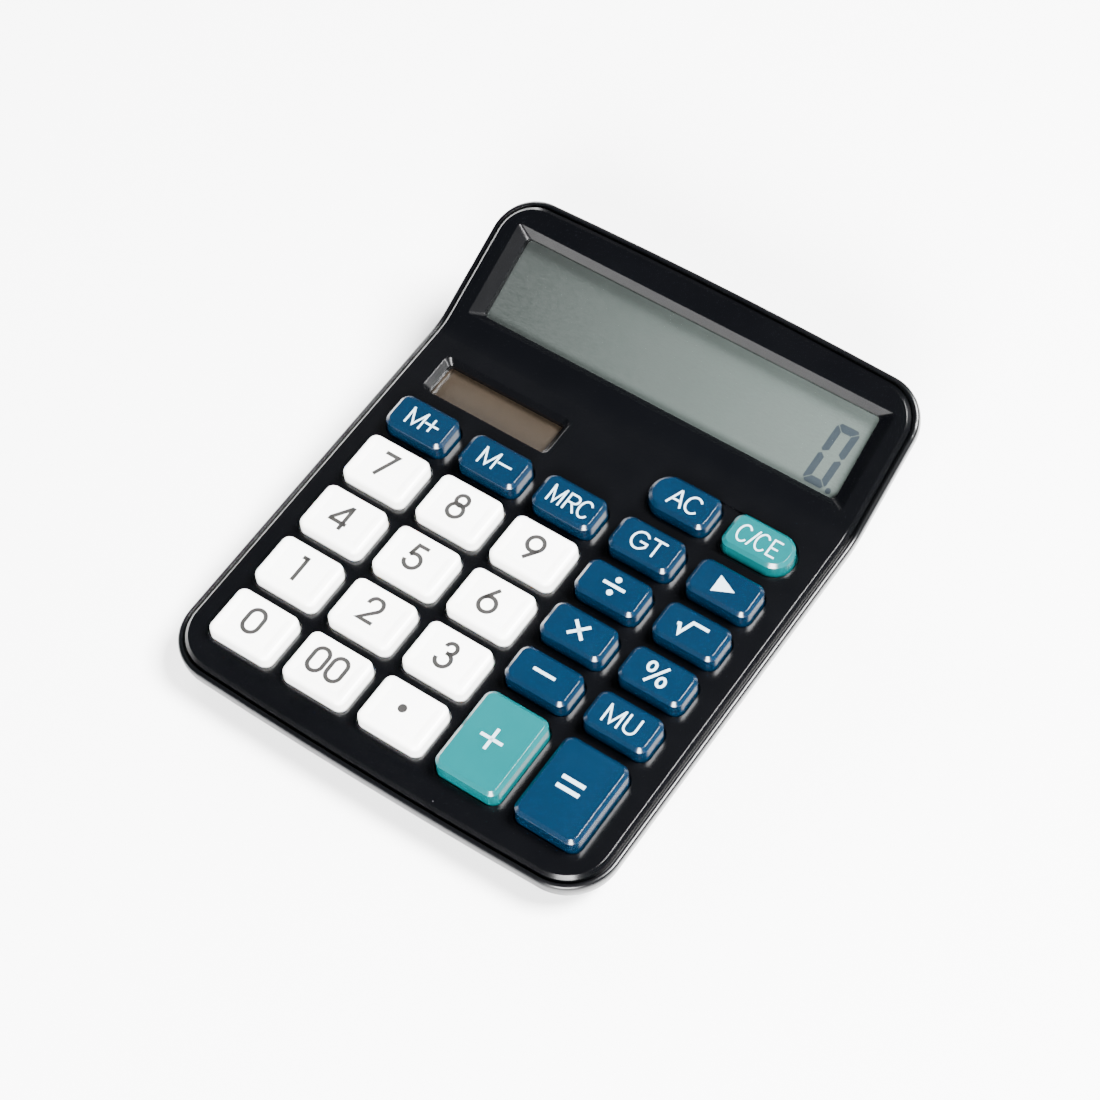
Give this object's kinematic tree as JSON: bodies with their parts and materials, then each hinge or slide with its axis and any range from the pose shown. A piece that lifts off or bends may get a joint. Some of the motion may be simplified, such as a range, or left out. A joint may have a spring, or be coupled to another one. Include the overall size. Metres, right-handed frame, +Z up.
{
  "type": "desktop calculator",
  "caption": "Desktop calculator with a raised tilted display, a small solar cell, sprung keys that press in and a sliding battery door underneath.",
  "frame": {"origin": "on the table under the middle of the case: half way across its width and half way between its front and rear edges, at the level of the bottoms of the rubber feet", "axes": "+Z up, +X to the user's right, +Y away from the user, from the front rim towards the display"},
  "size_m": [0.1196, 0.1469, 0.0396],
  "materials": {
    "black_case": "moulded ABS, fine matt texture",
    "white_key": "moulded ABS, satin, printed legend",
    "blue_key": "moulded ABS, satin, printed legend",
    "teal_key": "moulded ABS, satin, printed legend",
    "black_rubber": "moulded rubber",
    "grey_rubber": "silicone rubber",
    "carbon": "conductive rubber",
    "green_board": "glass fibre board, solder mask",
    "amber_film": "polyimide film",
    "battery_sleeve": "shrink sleeve over a steel can",
    "nickel_steel": "nickel plated spring steel",
    "zinc_steel": "zinc plated steel",
    "black_lead": "insulated wire",
    "red_lead": "insulated wire",
    "clear_window": "clear acrylic, polished",
    "polarizer": "polarizing film",
    "lcd_glass": "glass",
    "reflector": "brushed reflecting film",
    "grey_plastic": "moulded plastic",
    "solar_film": "amorphous silicon on glass",
    "black_resin": "epoxy",
    "capacitor_can": "aluminium can"
  },
  "bodies": {
    "case": {"battery": "battery_sleeve", "battery_lead_black": "black_lead", "battery_lead_red": "red_lead", "battery_spring": "nickel_steel", "board_screws": "zinc_steel", "capacitors": "capacitor_can", "carbon_pills": "carbon", "case_screws": "zinc_steel", "chip_resin": "black_resin", "chip_resistors": "black_resin", "display_flex": "amber_film", "display_window": "clear_window", "lcd_frame": "grey_plastic", "lcd_front_glass": "lcd_glass", "lcd_front_polarizer": "polarizer", "lcd_rear_glass": "lcd_glass", "lcd_reflector": "reflector", "lower_case": "black_case", "main_board": "green_board", "negative_contact": "nickel_steel", "positive_contact": "nickel_steel", "rubber_feet": "black_rubber", "rubber_keypad": "grey_rubber", "solar_cell": "solar_film", "solar_leads": "red_lead", "solar_window": "clear_window", "upper_case": "black_case"},
    "battery_door": {"battery_door": "black_case"},
    "key_0": {"key_0": "white_key"},
    "key_00": {"key_00": "white_key"},
    "key_1": {"key_1": "white_key"},
    "key_2": {"key_2": "white_key"},
    "key_3": {"key_3": "white_key"},
    "key_4": {"key_4": "white_key"},
    "key_5": {"key_5": "white_key"},
    "key_6": {"key_6": "white_key"},
    "key_7": {"key_7": "white_key"},
    "key_8": {"key_8": "white_key"},
    "key_9": {"key_9": "white_key"},
    "key_all_clear": {"key_all_clear": "blue_key"},
    "key_clear_entry": {"key_clear_entry": "teal_key"},
    "key_correct": {"key_correct": "blue_key"},
    "key_divide": {"key_divide": "blue_key"},
    "key_equals": {"key_equals": "blue_key"},
    "key_grand_total": {"key_grand_total": "blue_key"},
    "key_markup": {"key_markup": "blue_key"},
    "key_memory_minus": {"key_memory_minus": "blue_key"},
    "key_memory_plus": {"key_memory_plus": "blue_key"},
    "key_memory_recall": {"key_memory_recall": "blue_key"},
    "key_minus": {"key_minus": "blue_key"},
    "key_multiply": {"key_multiply": "blue_key"},
    "key_percent": {"key_percent": "blue_key"},
    "key_plus": {"key_plus": "teal_key"},
    "key_point": {"key_point": "white_key"},
    "key_square_root": {"key_square_root": "blue_key"}
  },
  "joints": [
    {"name": "key_0_press", "type": "slide", "parent": "case", "child": "key_0", "axis": [0, 0.1002, -0.995], "range_m": [0, 0.0012], "stiffness_N_per_m": 400, "springref_m": -0.0004},
    {"name": "key_00_press", "type": "slide", "parent": "case", "child": "key_00", "axis": [0, 0.1002, -0.995], "range_m": [0, 0.0012], "stiffness_N_per_m": 400, "springref_m": -0.0004},
    {"name": "key_1_press", "type": "slide", "parent": "case", "child": "key_1", "axis": [0, 0.1002, -0.995], "range_m": [0, 0.0012], "stiffness_N_per_m": 400, "springref_m": -0.0004},
    {"name": "key_2_press", "type": "slide", "parent": "case", "child": "key_2", "axis": [0, 0.1002, -0.995], "range_m": [0, 0.0012], "stiffness_N_per_m": 400, "springref_m": -0.0004},
    {"name": "key_3_press", "type": "slide", "parent": "case", "child": "key_3", "axis": [0, 0.1002, -0.995], "range_m": [0, 0.0012], "stiffness_N_per_m": 400, "springref_m": -0.0004},
    {"name": "key_4_press", "type": "slide", "parent": "case", "child": "key_4", "axis": [0, 0.1002, -0.995], "range_m": [0, 0.0012], "stiffness_N_per_m": 400, "springref_m": -0.0004},
    {"name": "key_5_press", "type": "slide", "parent": "case", "child": "key_5", "axis": [0, 0.1002, -0.995], "range_m": [0, 0.0012], "stiffness_N_per_m": 400, "springref_m": -0.0004},
    {"name": "key_6_press", "type": "slide", "parent": "case", "child": "key_6", "axis": [0, 0.1002, -0.995], "range_m": [0, 0.0012], "stiffness_N_per_m": 400, "springref_m": -0.0004},
    {"name": "key_7_press", "type": "slide", "parent": "case", "child": "key_7", "axis": [0, 0.1002, -0.995], "range_m": [0, 0.0012], "stiffness_N_per_m": 400, "springref_m": -0.0004},
    {"name": "key_8_press", "type": "slide", "parent": "case", "child": "key_8", "axis": [0, 0.1002, -0.995], "range_m": [0, 0.0012], "stiffness_N_per_m": 400, "springref_m": -0.0004},
    {"name": "key_9_press", "type": "slide", "parent": "case", "child": "key_9", "axis": [0, 0.1002, -0.995], "range_m": [0, 0.0012], "stiffness_N_per_m": 400, "springref_m": -0.0004},
    {"name": "key_all_clear_press", "type": "slide", "parent": "case", "child": "key_all_clear", "axis": [0, 0.1002, -0.995], "range_m": [0, 0.0012], "stiffness_N_per_m": 400, "springref_m": -0.0004},
    {"name": "key_clear_entry_press", "type": "slide", "parent": "case", "child": "key_clear_entry", "axis": [0, 0.1002, -0.995], "range_m": [0, 0.0012], "stiffness_N_per_m": 400, "springref_m": -0.0004},
    {"name": "key_correct_press", "type": "slide", "parent": "case", "child": "key_correct", "axis": [0, 0.1002, -0.995], "range_m": [0, 0.0012], "stiffness_N_per_m": 400, "springref_m": -0.0004},
    {"name": "key_divide_press", "type": "slide", "parent": "case", "child": "key_divide", "axis": [0, 0.1002, -0.995], "range_m": [0, 0.0012], "stiffness_N_per_m": 400, "springref_m": -0.0004},
    {"name": "key_equals_press", "type": "slide", "parent": "case", "child": "key_equals", "axis": [0, 0.1002, -0.995], "range_m": [0, 0.0012], "stiffness_N_per_m": 400, "springref_m": -0.0004},
    {"name": "key_grand_total_press", "type": "slide", "parent": "case", "child": "key_grand_total", "axis": [0, 0.1002, -0.995], "range_m": [0, 0.0012], "stiffness_N_per_m": 400, "springref_m": -0.0004},
    {"name": "key_markup_press", "type": "slide", "parent": "case", "child": "key_markup", "axis": [0, 0.1002, -0.995], "range_m": [0, 0.0012], "stiffness_N_per_m": 400, "springref_m": -0.0004},
    {"name": "key_memory_minus_press", "type": "slide", "parent": "case", "child": "key_memory_minus", "axis": [0, 0.1002, -0.995], "range_m": [0, 0.0012], "stiffness_N_per_m": 400, "springref_m": -0.0004},
    {"name": "key_memory_plus_press", "type": "slide", "parent": "case", "child": "key_memory_plus", "axis": [0, 0.1002, -0.995], "range_m": [0, 0.0012], "stiffness_N_per_m": 400, "springref_m": -0.0004},
    {"name": "key_memory_recall_press", "type": "slide", "parent": "case", "child": "key_memory_recall", "axis": [0, 0.1002, -0.995], "range_m": [0, 0.0012], "stiffness_N_per_m": 400, "springref_m": -0.0004},
    {"name": "key_minus_press", "type": "slide", "parent": "case", "child": "key_minus", "axis": [0, 0.1002, -0.995], "range_m": [0, 0.0012], "stiffness_N_per_m": 400, "springref_m": -0.0004},
    {"name": "key_multiply_press", "type": "slide", "parent": "case", "child": "key_multiply", "axis": [0, 0.1002, -0.995], "range_m": [0, 0.0012], "stiffness_N_per_m": 400, "springref_m": -0.0004},
    {"name": "key_percent_press", "type": "slide", "parent": "case", "child": "key_percent", "axis": [0, 0.1002, -0.995], "range_m": [0, 0.0012], "stiffness_N_per_m": 400, "springref_m": -0.0004},
    {"name": "key_plus_press", "type": "slide", "parent": "case", "child": "key_plus", "axis": [0, 0.1002, -0.995], "range_m": [0, 0.0012], "stiffness_N_per_m": 400, "springref_m": -0.0004},
    {"name": "key_point_press", "type": "slide", "parent": "case", "child": "key_point", "axis": [0, 0.1002, -0.995], "range_m": [0, 0.0012], "stiffness_N_per_m": 400, "springref_m": -0.0004},
    {"name": "key_square_root_press", "type": "slide", "parent": "case", "child": "key_square_root", "axis": [0, 0.1002, -0.995], "range_m": [0, 0.0012], "stiffness_N_per_m": 400, "springref_m": -0.0004},
    {"name": "battery_door_slide", "type": "slide", "parent": "case", "child": "battery_door", "axis": [0, 1, 0], "range_m": [0, 0.018]}
  ]
}
